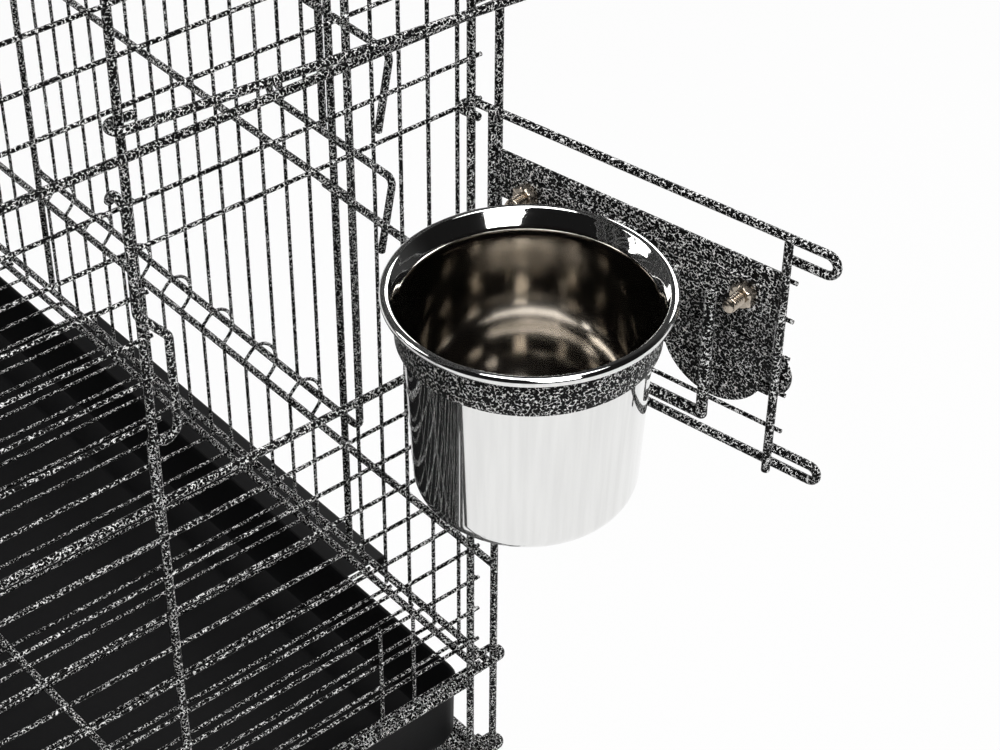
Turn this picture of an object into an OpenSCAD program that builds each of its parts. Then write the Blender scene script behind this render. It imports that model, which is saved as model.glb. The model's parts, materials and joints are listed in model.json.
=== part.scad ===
// Wire bird cage on a rolling stand, with swing-out feeder doors.
// Millimetres, +Z up, front at -Y, origin on the floor under the middle of the cage.

/* [Cage body] */
// Width between the corner post axes
cage_w = 540; // [420:10:660]
// Depth between the corner post axes
cage_d = 460; // [420:10:560]
// Height of the wire body, from the bottom rails to the top rails
cage_h = 756; // [640:21:910]
// Thick rod diameter
rod_d = 3.8; // [3.2:0.1:4.6]
// Thin wire diameter
wire_d = 1.9; // [1.5:0.1:2.3]
// Spacing of the upright wires of the front and back
upright_pitch = 20; // [17:0.5:24]
// Spacing of the level wires of the sides
row_pitch = 21; // [20:0.25:23]

/* [Feeder doors] */
// Distance from a corner post to the first side upright
post_gap = 15.6; // [12:0.2:20]
// Distance between the two uprights beside a feeder door
feeder_w = 167.4; // [165:0.2:180]
// Angle that the feeder doors stand open at
feeder_open = 100.8; // [60:0.1:110]
// Angle that the swing bars stand off the side
bar_open = 5.7; // [0:0.1:20]

/* [Bowl] */
// Outer radius of the bowl's rolled rim
rim_r = 58.5; // [48:0.1:59]
// Height of the bowl
bowl_h = 100; // [70:1:101]

/* [Main door] */
// Upright spaces between a corner post and the door opening
door_margin = 6; // [4:1:7]
// Height of the main door opening
main_door_h = 441; // [300:21:500]
// Height of the low front rail
low_rail_z = 66; // [50:1:80]

/* [Stand] */
// Height of the cage floor rails above the ground
floor_z = 640; // [520:10:760]
// Side of the square leg tubes
leg_w = 20; // [16:1:26]
// Height of the storage shelf
shelf_z = 150; // [110:5:240]
// Caster wheel radius
wheel_r = 25; // [20:1:30]

/* [Hidden] */
$fn = 32;

paint = [0.09, 0.09, 0.10];
steel = [0.78, 0.78, 0.80];
zinc = [0.62, 0.58, 0.50];
tray_black = [0.05, 0.05, 0.05];
tyre_black = [0.12, 0.12, 0.12];

rod_r = rod_d / 2;
wire_r = wire_d / 2;
weld = 0.25;               // how deep welded rods bite into each other
run_gap = 0.3;             // clearance of a hooked eye round an upright
knuckle = 0.1;             // how much a bend's ball stands out from its rod
rod_on_rod = rod_d - weld;
wire_on_rod = rod_r + wire_r - weld;
stub = 3;                  // how far a wire runs past its last weld

// Front and back grid
front_n = round(cage_w / upright_pitch);
front_step = cage_w / front_n;
door_u0 = door_margin * front_step;
door_u1 = cage_w - door_u0;
door_top_z = low_rail_z + main_door_h;
mid_rail_z = 225;
foot_rail_z = -rod_on_rod;              // just under the side rails
head_rail_z = cage_h - rod_on_rod;
wire_foot_z = foot_rail_z - rod_r;

// Side grid
rows = round(cage_h / row_pitch);
row_step = cage_h / rows;
feeder_row = 10;
feeder_rows = 6;
bar_row = 18;
high_row = 27;
feeder_z0 = feeder_row * row_step;
feeder_z1 = (feeder_row + feeder_rows) * row_step;
rail_rows = [0, feeder_row, bar_row, high_row, rows];
upright_x = -0.4;                       // side upright axis, from the panel plane
rail_x = upright_x - rod_on_rod;        // side rail axis
side_wire_x = upright_x - wire_on_rod;
v2 = post_gap;
v1 = post_gap + feeder_w;
v3 = cage_d - v1;
v4 = cage_d - v2;

// Base of the cage
base_z = -74;
side_base_z = -66;
post_foot_z = base_z - rod_r;
runner_z = base_z + rod_on_rod;

// Grate and tray
grate_z = -11;
grate_inset = 6;
grate_bar_y = 182;
grate_pitch = 18.2;
grate_end = 2;
grate_ledge_z = grate_z - rod_d - run_gap;
tray_inset = 12;
tray_wall = 1;
tray_floor_z = runner_z + rod_r + run_gap;
tray_rim_z = -22;
tray_lip = 8;
tray_pull = 26;

// Feeder door, in its closed place: axis at the second upright, door along +Y, outside at -X
eye_r = rod_d + run_gap;
door_plane = -eye_r;
arm_w = 157;                             // hinge axis to the end rod
hinge_rod_w = 11;
loop_out = 181;
top_loop_out = 179;
feeder_rod_z0 = feeder_z0 + 9.5;
feeder_rod_z1 = feeder_z1 - 4.6;
top_loop_leg = 9.4;
low_loop_leg = 7.5;
end_rod_x = door_plane + rod_on_rod;
feeder_wire_x = end_rod_x - wire_on_rod;
feeder_wires_n = 5;
plate_t = 1.5;
strip_x = feeder_wire_x + wire_r - 0.05;
strip_z0 = feeder_z0 + 83;
strip_z1 = feeder_z0 + 106;
back_plate_x = feeder_wire_x - wire_r + 0.05 - plate_t;
bracket_t = 1.8;
bracket_x = strip_x + plate_t - 0.05;
bolt_z = feeder_z0 + 92;
bolt_w = [32, 141];
bolt_d = 6;
bolt_len = 15.6;
nut_af = 10;
nut_t = 5;
head_t = 4;

// Bowl and ring
bowl_w = 82.5;
bowl_x = 65.5;
rim_z = feeder_z0 + 104;
rim_roll = 2.2;
rim_reach = 8;
bowl_r = rim_r - rim_reach;
flare_r = rim_r - 2 * rim_roll + 0.9;
flare_h = 7.2;
bowl_wall = 0.8;
bowl_taper = 4;
bowl_corner = 11;
ring_gap = 0.4;
ring_t = 2;
ring_h = 14;
ring_in = bowl_r + ring_gap;
ring_top = rim_z - flare_h - run_gap;

// Main door
door_y = -(rod_d + run_gap);
door_lap = 8;
main_u0 = door_u0 - door_lap;
main_u1 = door_u1 + door_lap;
main_z0 = low_rail_z + 9;
main_z1 = door_top_z + 8;
door_bars_z = [218, 365];

// Latch, two prongs on an upright grip
latch_y = door_y - rod_d - run_gap;
prong_z = [240, 308];
grip_u = door_u0 + 26;
prong_tip_u = door_u0 - 33;
prong_eye_u = door_u0 + 60;
prong_tail = 42;

// Stand
leg_top_z = floor_z + post_foot_z + weld;
caster_h = 62;
leg_x = cage_w / 2 - 6;
leg_y = cage_d / 2 - 6;
leg_wall = 1.2;
rail_h = 16;
shelf_t = 1.2;
shelf_lip = 18;
fork_gap = 20;
fork_t = 2;
fork_offset = 18;
fork_back = 11;
fork_front = fork_offset + 5;
fork_toe = 7;
tyre_cut = 3;
stem_d = 11;
stem_len = 30;
wheel_w = 16;
axle_d = 6;
caster_plate = 4;

// ---------- small shapes ----------
module rod(a, b, d = rod_d) {
    v = b - a;
    span = norm(v);
    translate(a) rotate([0, acos(v[2] / span), atan2(v[1], v[0])]) cylinder(h = span, d = d);
}

module bent(points, d = rod_d) {
    last = len(points) - 1;
    for (i = [0:last - 1]) rod(points[i], points[i + 1], d);
    for (i = [1:last - 1]) translate(points[i]) sphere(d = d + knuckle);
}

// Quarter or half ring of rod, in the XY plane, from angle a0 over sweep
module ring_arc(r, a0, sweep, d = rod_d) {
    rotate([0, 0, a0]) rotate_extrude(angle = sweep) translate([r, 0]) circle(d = d);
}

module plate_yz(x, t, y0, y1, z0, z1) {
    translate([x, y0, z0]) cube([t, y1 - y0, z1 - z0]);
}

module tube(w, wall, h) {
    linear_extrude(h) difference() {
        square(w, center = true);
        square(w - 2 * wall, center = true);
    }
}

// ---------- places ----------
module at_front() {
    translate([-cage_w / 2, -cage_d / 2, floor_z]) children();
}

module at_back() {
    mirror([0, 1, 0]) at_front() children();
}

module at_right() {
    mirror([1, 0, 0]) at_front() children();
}

module turned(angle, x, y) {
    translate([x, y, 0]) rotate([0, 0, angle]) translate([-x, -y, 0]) children();
}

// ---------- front and back ----------
module posts() {
    for (u = [0, cage_w]) rod([u, 0, post_foot_z], [u, 0, cage_h + rod_r]);
}

module front_uprights() {
    color(paint) at_front() {
        posts();
        for (u = [door_u0, door_u1]) rod([u, 0, wire_foot_z], [u, 0, cage_h + rod_r]);
    }
}

module front_rail(z, u0, u1) {
    rod([u0, rod_on_rod, z], [u1, rod_on_rod, z]);
}

module front_rails() {
    color(paint) at_front() {
        for (z = [foot_rail_z, low_rail_z, door_top_z, head_rail_z]) front_rail(z, -stub, cage_w + stub);
        front_rail(mid_rail_z, -stub, door_u0 + stub);
        front_rail(mid_rail_z, door_u1 - stub, cage_w + stub);
    }
}

front_wire_y = rod_on_rod + wire_on_rod;

module front_wire(u, z0, z1) {
    rod([u, front_wire_y, z0], [u, front_wire_y, z1], wire_d);
}

module front_wires() {
    color(paint) at_front() for (i = [1:front_n - 1]) {
        beside = i < door_margin || i > front_n - door_margin;
        above = i > door_margin && i < front_n - door_margin;
        if (beside) front_wire(i * front_step, wire_foot_z, cage_h);
        if (above) front_wire(i * front_step, door_top_z - stub, cage_h);
    }
}

// A wire bent double whose closed end leans out over the main door's bottom rod
arch_z = main_z0 - 3;
crown_z = main_z0 + 8;
crown_y = door_y - run_gap;
arch_lean = atan2(front_wire_y - crown_y, crown_z - arch_z);
arch_len = norm([front_wire_y - crown_y, crown_z - arch_z]);

module hairpin(u) {
    r = front_step / 2;
    translate([u, front_wire_y, arch_z]) {
        for (x = [0, front_step]) {
            rod([x, 0, 0], [x, 0, wire_foot_z - arch_z], wire_d);
            translate([x, 0, 0]) sphere(d = wire_d + knuckle);
        }
        rotate([arch_lean, 0, 0]) {
            for (x = [0, front_step]) rod([x, 0, 0], [x, 0, arch_len - r], wire_d);
            translate([r, 0, arch_len - r]) rotate([90, 0, 0]) ring_arc(r, 0, 180, wire_d);
        }
    }
}

module front_hairpins() {
    $fn = 20;
    color(paint) at_front()
        for (i = [door_margin + 1:2:front_n - door_margin - 2]) hairpin(i * front_step);
}

module back_uprights() {
    color(paint) at_back() {
        posts();
        for (u = [door_u0, door_u1]) rod([u, 0, wire_foot_z], [u, 0, cage_h + rod_r]);
    }
}

module back_rails() {
    color(paint) at_back()
        for (z = [foot_rail_z, mid_rail_z, door_top_z, head_rail_z]) front_rail(z, -stub, cage_w + stub);
}

module back_wires() {
    color(paint) at_back() for (i = [1:front_n - 1])
        if (i != door_margin && i != front_n - door_margin)
            front_wire(i * front_step, wire_foot_z, cage_h);
}

// ---------- sides ----------
module side_uprights() {
    for (v = [v2, v1, v3, v4]) rod([upright_x, v, side_base_z - stub], [upright_x, v, cage_h + stub]);
}

// A side rail whose two ends hook round the corner posts
module side_rail(z) {
    hook_back = 13;
    translate([0, 0, z]) {
        rod([rail_x, 0, 0], [rail_x, cage_d, 0]);
        ring_arc(-rail_x, 180, 180);
        rod([-rail_x, 0, 0], [-rail_x, hook_back, 0]);
        translate([0, cage_d, 0]) ring_arc(-rail_x, 0, 180);
        rod([-rail_x, cage_d, 0], [-rail_x, cage_d - hook_back, 0]);
    }
}

module side_rails() {
    for (row = rail_rows) side_rail(row * row_step);
    side_rail(side_base_z);
}

module side_wires() {
    for (row = [1:rows - 1]) {
        z = row * row_step;
        in_feeder = row > feeder_row && row < feeder_row + feeder_rows;
        start = in_feeder ? v1 - stub : v2 - stub;
        if (len(search(row, rail_rows)) == 0)
            rod([side_wire_x, start, z], [side_wire_x, v4 + stub, z], wire_d);
    }
}

// Two short wires that tie the bottom rail to the base, each with a curl round the rail
module side_tie_hooks() {
    r = wire_on_rod;
    for (v = [v2 + 37, v2 + 57]) translate([rail_x, v, 0]) {
        rod([r, 0, 3 * row_step + wire_r], [r, 0, 0], wire_d);
        rotate([90, 0, 0]) ring_arc(r, 0, -250, wire_d);
    }
}

module left_uprights() {
    color(paint) at_front() side_uprights();
}

module left_rails() {
    color(paint) at_front() side_rails();
}

module left_wires() {
    color(paint) at_front() side_wires();
}

module left_tie_hooks() {
    color(paint) at_front() side_tie_hooks();
}

module right_uprights() {
    color(paint) at_right() side_uprights();
}

module right_rails() {
    color(paint) at_right() side_rails();
}

module right_wires() {
    color(paint) at_right() side_wires();
}

module right_tie_hooks() {
    color(paint) at_right() side_tie_hooks();
}

// ---------- top ----------
top_z = cage_h + rod_on_rod;
top_wire_in = 8;

module top_rails() {
    color(paint) at_front() {
        for (y = [12, cage_d / 3, 2 * cage_d / 3, cage_d - 12])
            rod([rail_x - rod_r, y, top_z], [cage_w - rail_x + rod_r, y, top_z]);
    }
}

module top_wires() {
    color(paint) at_front() for (i = [1:front_n - 1])
        rod([i * front_step, top_wire_in, top_z + wire_on_rod],
            [i * front_step, cage_d - top_wire_in, top_z + wire_on_rod], wire_d);
}

// ---------- base, grate and tray ----------
runner_u = [cage_w * 0.12, cage_w / 2, cage_w * 0.88];

module base_rails() {
    ledge_x = upright_x + rod_on_rod;
    color(paint) at_front() {
        for (y = [rod_on_rod, cage_d - rod_on_rod]) rod([-stub, y, base_z], [cage_w + stub, y, base_z]);
        for (u = runner_u) rod([u, 0, runner_z], [u, cage_d, runner_z]);
        for (x = [ledge_x, cage_w - ledge_x])
            rod([x, v2 - stub, grate_ledge_z], [x, v4 + stub, grate_ledge_z]);
    }
}

module grate_frame() {
    y0 = grate_inset;
    y1 = cage_d - grate_inset;
    color(paint) at_front() {
        for (y = [y0, grate_bar_y, cage_d - grate_bar_y, y1])
            rod([grate_inset - 3, y, grate_z], [cage_w - grate_inset + 3, y, grate_z]);
    }
}

grate_n = round((cage_w - 2 * grate_inset) / grate_pitch);
grate_step = (cage_w - 2 * grate_inset) / grate_n;

module grate_wires() {
    z = grate_z + wire_on_rod;
    color(paint) at_front() for (i = [0:grate_n]) {
        x = grate_inset + i * grate_step;
        rod([x, grate_inset - grate_end, z], [x, cage_d - grate_inset + grate_end, z], wire_d);
    }
}

module tray() {
    l = cage_w - 2 * tray_inset;
    d = cage_d - 2 * tray_lip;
    h = tray_rim_z - tray_floor_z;
    t = tray_wall;
    color(tray_black) at_front() translate([tray_inset, tray_lip, tray_floor_z]) {
        difference() {
            cube([l, d, h]);
            translate([t, t, t]) cube([l - 2 * t, d - 2 * t, h]);
        }
        translate([0, -t - 1, h - t]) cube([l, t + 1.5, t]);
        translate([0.2 * l, -tray_pull, h - t]) cube([0.6 * l, tray_pull + 0.5, t]);
        translate([0.2 * l, -tray_pull, h - 12]) cube([0.6 * l, t, 12]);
    }
}

// ---------- main door ----------
module main_door_frame() {
    color(paint) at_front() {
        rod([main_u0, door_y, main_z0], [main_u1, door_y, main_z0]);
        rod([main_u0, door_y, main_z1], [main_u1, door_y, main_z1]);
        for (u = [main_u0, main_u1]) {
            rod([u, door_y, main_z0], [u, door_y, main_z1]);
            for (z = [main_z0, main_z1]) translate([u, door_y, z]) sphere(d = rod_d + knuckle);
        }
        for (z = door_bars_z) rod([main_u0, door_y, z], [main_u1, door_y, z]);
    }
}

module main_door_wires() {
    y = door_y - wire_on_rod;
    color(paint) at_front() for (i = [door_margin:front_n - door_margin - 1]) {
        u = (i + 0.5) * front_step;
        rod([u, y, main_z0 - 1], [u, y, main_z1 + 1], wire_d);
    }
}

module main_door_latch() {
    tip = prong_tip_u;
    y = latch_y - wire_d;
    color(paint) at_front() {
        for (z = prong_z) {
            bent([[prong_eye_u, y, z], [tip, y, z], [tip + 4, y + 5, z - prong_tail]]);
            translate([prong_eye_u, y, z + 5]) rotate([90, 0, 0]) ring_arc(5, -90, 300);
        }
        rod([grip_u, y - rod_on_rod, prong_z[0] - stub], [grip_u, y - rod_on_rod, prong_z[1] + 34]);
    }
}

// ---------- feeder door, closed, in the side panel's place ----------
module feeder_place() {
    translate([upright_x, v2, 0]) children();
}

module feeder_frame() {
    feeder_place() {
        for (side = [0, 1]) {
            z = side == 0 ? feeder_rod_z0 : feeder_rod_z1;
            leg = side == 0 ? low_loop_leg : top_loop_leg;
            out = side == 0 ? loop_out : top_loop_out;
            other = side == 0 ? z + leg : z - leg;
            turn = out - leg / 2 - rod_r;
            translate([0, 0, z]) ring_arc(eye_r, 180, 180);
            rod([eye_r, 0, z], [eye_r, 8, z]);
            rod([door_plane, 0, z], [door_plane, turn, z]);
            translate([door_plane, turn, (z + other) / 2]) rotate([0, 90, 0]) ring_arc(leg / 2, 0, 180);
            rod([door_plane, turn, other], [door_plane, arm_w - 1, other]);
        }
        for (w = [hinge_rod_w, arm_w])
            rod([end_rod_x, w, feeder_rod_z0 - stub], [end_rod_x, w, feeder_rod_z1 + 2]);
    }
}

module feeder_wires() {
    step = (feeder_rod_z1 - feeder_rod_z0) / (feeder_wires_n + 1);
    feeder_place() for (i = [1:feeder_wires_n]) {
        z = feeder_rod_z0 + i * step;
        rod([feeder_wire_x, hinge_rod_w - stub, z], [feeder_wire_x, arm_w + 4, z], wire_d);
    }
}

module bolt_holes(d) {
    for (w = bolt_w) translate([-20, w, bolt_z]) rotate([0, 90, 0]) cylinder(h = 40, d = d);
}

module feeder_strip() {
    feeder_place() difference() {
        plate_yz(strip_x, plate_t, hinge_rod_w + rod_r - 0.1, arm_w - rod_r + 0.1, strip_z0, strip_z1);
        bolt_holes(bolt_d + 0.4);
    }
}

// Back plate: a level bar with two rounded lobes below it
module feeder_back_plate() {
    lobe_r = 26;
    lobe_z = feeder_z0 + 55;
    feeder_place() difference() {
        translate([back_plate_x, 0, 0]) rotate([90, 0, 90]) linear_extrude(plate_t) {
            translate([22, lobe_z]) square([126, strip_z0 - lobe_z + 20]);
            for (w = [43, 125]) {
                translate([w, lobe_z]) circle(r = lobe_r);
                translate([w - lobe_r, lobe_z]) square([2 * lobe_r, 16]);
            }
            translate([140, feeder_z0 + 42]) square([12, 40]);
            translate([150, feeder_z0 + 54]) circle(r = 12);
        }
        bolt_holes(bolt_d + 0.4);
    }
}

// Ears on the bolts, two arms, the ring and the bent rod below it
module feeder_bracket() {
    ear_z1 = strip_z1 - 8;
    leg_x = bracket_x + bracket_t + 2.2;
    leg_w0 = 46;
    leg_w1 = 126;
    foot_z = feeder_z0 + 24;
    arm_reach = bowl_x - sqrt(pow(ring_in, 2) - pow(26, 2));
    feeder_place() {
        difference() {
            union() {
                plate_yz(bracket_x, bracket_t, 24, 148, strip_z0 - 3, ear_z1);
                for (w = [bowl_w - 26, bowl_w + 26])
                    translate([bracket_x, w - 1, ring_top - ring_h]) cube([arm_reach, 2, ring_h - 5]);
            }
            bolt_holes(bolt_d + 0.4);
            translate([bowl_x, bowl_w, ring_top - ring_h - 1])
                cylinder(h = ring_h + 2, r = ring_in + ring_t / 2);
        }
        difference() {
            translate([bowl_x, bowl_w, ring_top - ring_h])
                cylinder(h = ring_h, r = ring_in + ring_t, $fn = 96);
            translate([bowl_x, bowl_w, ring_top - ring_h - 1])
                cylinder(h = ring_h + 2, r = ring_in, $fn = 96);
        }
        bent([[leg_x, leg_w0, strip_z0 + 4], [leg_x, leg_w0, foot_z], [leg_x, leg_w1, foot_z],
            [leg_x, leg_w1, strip_z0 + 4]], 5);
    }
}

module feeder_bolts() {
    feeder_place() for (w = bolt_w) translate([0, w, bolt_z]) rotate([0, 90, 0]) {
        translate([0, 0, back_plate_x - head_t]) cylinder(h = head_t, d = nut_af, $fn = 6);
        translate([0, 0, back_plate_x - 0.1]) cylinder(h = bracket_x - back_plate_x + bolt_len, d = bolt_d);
        translate([0, 0, bracket_x + bracket_t]) cylinder(h = nut_t, d = nut_af / cos(30), $fn = 6);
    }
}

module bowl() {
    r1 = bowl_r - bowl_taper;
    z0 = rim_z - bowl_h;
    w = bowl_wall;
    c = bowl_corner;
    feeder_place() translate([bowl_x, bowl_w, z0]) rotate_extrude($fn = 96) {
        difference() {
            union() {
                polygon([[0, 0], [r1 - c, 0], [r1, c], [bowl_r, bowl_h - flare_h],
                    [flare_r, bowl_h - rim_roll], [0, bowl_h - rim_roll]]);
                intersection() {
                    translate([r1 - c, c]) circle(r = c);
                    translate([0, 0]) square([r1 + 5, c]);
                }
            }
            polygon([[0, w], [r1 - c, w], [r1 - w, c], [bowl_r - w, bowl_h - flare_h],
                [flare_r - w, bowl_h - rim_roll], [flare_r - w, bowl_h], [0, bowl_h]]);
        }
        translate([rim_r - rim_roll, bowl_h - rim_roll]) circle(r = rim_roll);
    }
}

// Catch: a bent wire that hangs from a side wire beside the feeder door
catch_row = feeder_row + feeder_rows + 1;

module catch() {
    x = upright_x + door_plane - rod_d - run_gap;
    z = catch_row * row_step;
    side = v1 + 6;
    bent([[x, side, z], [x, side, z - 46], [x, v1 - 7, z - 62], [x, v1 - 7, z - 108],
        [x, v1, z - 114], [x, side, z - 104], [x, side, z - 158]]);
    translate([side_wire_x, side, z]) rotate([90, 0, 0]) ring_arc(-(x - side_wire_x), 0, 180);
}

// Swing bar: a thick rod whose eye turns on the upright beside the feeder door
bar_z = bar_row * row_step + rod_d + 8;

module swing_bar() {
    turned(-bar_open, upright_x, v1) translate([upright_x, v1, bar_z]) {
        ring_arc(eye_r, 0, 180);
        rod([eye_r, 0, 0], [eye_r, -8, 0]);
        rod([-eye_r, 0, 0], [-eye_r, -(feeder_w + 12), 0]);
    }
}

module feeder_pose() {
    turned(feeder_open, upright_x, v2) children();
}

module left_feeder_frame() {
    color(paint) at_front() feeder_pose() feeder_frame();
}

module left_feeder_wires() {
    color(paint) at_front() feeder_pose() feeder_wires();
}

module left_feeder_strip() {
    color(paint) at_front() feeder_pose() feeder_strip();
}

module left_feeder_back_plate() {
    color(paint) at_front() feeder_pose() feeder_back_plate();
}

module left_feeder_bracket() {
    color(paint) at_front() feeder_pose() feeder_bracket();
}

module left_feeder_bolts() {
    color(zinc) at_front() feeder_pose() feeder_bolts();
}

module left_bowl() {
    color(steel) at_front() feeder_pose() bowl();
}

module left_catch() {
    color(paint) at_front() catch();
}

module left_swing_bar() {
    color(paint) at_front() swing_bar();
}

module right_feeder_frame() {
    color(paint) at_right() feeder_pose() feeder_frame();
}

module right_feeder_wires() {
    color(paint) at_right() feeder_pose() feeder_wires();
}

module right_feeder_strip() {
    color(paint) at_right() feeder_pose() feeder_strip();
}

module right_feeder_back_plate() {
    color(paint) at_right() feeder_pose() feeder_back_plate();
}

module right_feeder_bracket() {
    color(paint) at_right() feeder_pose() feeder_bracket();
}

module right_feeder_bolts() {
    color(zinc) at_right() feeder_pose() feeder_bolts();
}

module right_bowl() {
    color(steel) at_right() feeder_pose() bowl();
}

module right_catch() {
    color(paint) at_right() catch();
}

module right_swing_bar() {
    color(paint) at_right() swing_bar();
}

// ---------- stand ----------
module each_leg() {
    for (sx = [-1, 1]) for (sy = [-1, 1]) translate([sx * leg_x, sy * leg_y, 0]) children();
}

module stand_legs() {
    color(paint) each_leg() {
        translate([0, 0, caster_h]) tube(leg_w, leg_wall, leg_top_z - caster_h - leg_wall);
        translate([0, 0, caster_h]) linear_extrude(stem_len + 2) difference() {
            square(leg_w - leg_wall, center = true);
            circle(d = stem_d + 0.1);
        }
        translate([-leg_w / 2, -leg_w / 2, leg_top_z - leg_wall]) cube([leg_w, leg_w, leg_wall]);
    }
}

module stand_top_rails() {
    z = leg_top_z - rail_h;
    color(paint) {
        for (s = [-1, 1]) {
            translate([-leg_x + leg_w / 2, s * leg_y, z + rail_h / 2]) rotate([0, 90, 0])
                tube(rail_h, leg_wall, 2 * leg_x - leg_w);
            translate([s * leg_x, -leg_y + leg_w / 2, z + rail_h / 2]) rotate([-90, 0, 0])
                tube(rail_h, leg_wall, 2 * leg_y - leg_w);
        }
    }
}

module stand_shelf() {
    l = 2 * leg_x - leg_w;
    d = 2 * leg_y + leg_w - 4;
    color(paint) translate([-l / 2, -d / 2, shelf_z]) difference() {
        cube([l, d, shelf_lip]);
        translate([shelf_t, shelf_t, shelf_t]) cube([l - 2 * shelf_t, d - 2 * shelf_t, shelf_lip]);
    }
}

module caster_fork() {
    top = caster_h - caster_plate;
    color(zinc) {
        translate([0, 0, top]) cylinder(h = caster_plate - 0.3, d = leg_w - 2);
        translate([0, 0, caster_h - 1]) cylinder(h = stem_len, d = stem_d);
        translate([-fork_back, -fork_gap / 2 - fork_t, top - fork_t])
            cube([fork_back + fork_front, fork_gap + 2 * fork_t, fork_t + 0.1]);
        for (s = [-1, 1]) translate([0, s * (fork_gap / 2 + fork_t / 2), 0]) rotate([90, 0, 0])
            linear_extrude(fork_t, center = true)
            polygon([[2 - fork_back, top], [fork_front, top],
                [fork_offset + fork_toe, wheel_r - 4], [fork_offset - fork_toe, wheel_r - 4]]);
        translate([fork_offset, 0, wheel_r]) rotate([90, 0, 0])
            cylinder(h = fork_gap + 2 * fork_t + 4, d = axle_d, center = true);
    }
}

module caster_wheel() {
    color(tyre_black) translate([fork_offset, 0, wheel_r]) rotate([90, 0, 0]) difference() {
        rotate_extrude($fn = 64) polygon([[0, -wheel_w / 2], [wheel_r - tyre_cut, -wheel_w / 2],
            [wheel_r, -wheel_w / 2 + tyre_cut], [wheel_r, wheel_w / 2 - tyre_cut],
            [wheel_r - tyre_cut, wheel_w / 2], [0, wheel_w / 2]]);
        cylinder(h = wheel_w + 2, d = axle_d + 0.1, center = true);
    }
}

module at_leg(sx, sy) {
    translate([sx * leg_x, sy * leg_y, 0]) rotate([0, 0, sx > 0 ? 0 : 180]) children();
}

front_uprights();
front_rails();
front_wires();
front_hairpins();
back_uprights();
back_rails();
back_wires();
left_uprights();
left_rails();
left_wires();
left_tie_hooks();
right_uprights();
right_rails();
right_wires();
right_tie_hooks();
top_rails();
top_wires();
base_rails();
grate_frame();
grate_wires();
tray();
main_door_frame();
main_door_wires();
main_door_latch();
left_feeder_frame();
left_feeder_wires();
left_feeder_strip();
left_feeder_back_plate();
left_feeder_bracket();
left_feeder_bolts();
left_bowl();
left_catch();
left_swing_bar();
right_feeder_frame();
right_feeder_wires();
right_feeder_strip();
right_feeder_back_plate();
right_feeder_bracket();
right_feeder_bolts();
right_bowl();
right_catch();
right_swing_bar();
stand_legs();
stand_top_rails();
stand_shelf();
at_leg(-1, -1) caster_fork();  // caster_front_left
at_leg(-1, -1) caster_wheel();  // wheel_front_left
at_leg(1, -1) caster_fork();  // caster_front_right
at_leg(1, -1) caster_wheel();  // wheel_front_right
at_leg(-1, 1) caster_fork();  // caster_back_left
at_leg(-1, 1) caster_wheel();  // wheel_back_left
at_leg(1, 1) caster_fork();  // caster_back_right
at_leg(1, 1) caster_wheel();  // wheel_back_right
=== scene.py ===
"""Bird cage on a rolling stand: materials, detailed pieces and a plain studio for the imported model."""
import json
import math

import bmesh
import bpy
from mathutils import Matrix, Vector


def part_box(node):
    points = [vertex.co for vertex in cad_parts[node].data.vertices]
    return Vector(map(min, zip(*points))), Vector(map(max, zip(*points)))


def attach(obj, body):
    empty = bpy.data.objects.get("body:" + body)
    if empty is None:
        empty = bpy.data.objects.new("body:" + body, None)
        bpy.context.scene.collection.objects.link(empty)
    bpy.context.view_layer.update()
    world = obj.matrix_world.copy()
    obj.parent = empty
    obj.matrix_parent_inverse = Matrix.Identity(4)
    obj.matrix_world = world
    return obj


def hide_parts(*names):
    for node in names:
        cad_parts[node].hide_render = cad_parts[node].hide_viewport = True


bl_info = {
    "name": "Bird Cage",
    "version": (1, 0, 0),
    "blender": (4, 5, 0),
    "location": "3D View > Sidebar > Bird Cage",
    "description": "Finishes, feeder doors, bowls, doors and casters of a wire bird cage on a stand",
    "category": "Object",
}

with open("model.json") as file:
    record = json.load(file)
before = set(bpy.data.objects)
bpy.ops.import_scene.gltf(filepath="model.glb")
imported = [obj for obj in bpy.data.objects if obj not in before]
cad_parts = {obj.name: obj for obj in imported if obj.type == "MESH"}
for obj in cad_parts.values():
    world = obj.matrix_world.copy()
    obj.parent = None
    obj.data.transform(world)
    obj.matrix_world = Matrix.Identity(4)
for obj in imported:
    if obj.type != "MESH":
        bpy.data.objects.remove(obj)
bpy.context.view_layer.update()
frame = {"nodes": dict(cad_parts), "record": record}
MM = 0.001
FLOOR_Z = 0.640          # height of the cage floor rails
HALF_W = 0.270
HALF_D = 0.230
POST_GAP = 15.6
OPENING = 167.4
ROW = 21.0
STEP = 20.0
OPEN_ANGLE = math.radians(100.8)
SIDES = ("left", "right")
BOWL_AT = (65.5, 82.5)   # bowl centre: outward from the door, and along it
RIM_Z = 314.0
BOWL_LOW = 214.0
BOWL_STEPS = 144
BOLTS_W = (32, 141)
BOLT_Z = 302


# ---------- places: panel millimetres to metres in the row frame ----------
def at_front(p):
    return Vector((p[0] * MM - HALF_W, p[1] * MM - HALF_D, p[2] * MM + FLOOR_Z))


def at_side(side, p):
    q = at_front(p)
    if side == "right":
        q.x = -q.x
    return q


def at_feeder(side, p):
    """A point of a feeder door, swung open: p = (outward is -x, along the door from its hinge, height)."""
    c, s = math.cos(OPEN_ANGLE), math.sin(OPEN_ANGLE)
    x, w = p[0] * c - p[1] * s, p[0] * s + p[1] * c
    return at_side(side, (x - 0.4, w + POST_GAP, p[2]))


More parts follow.
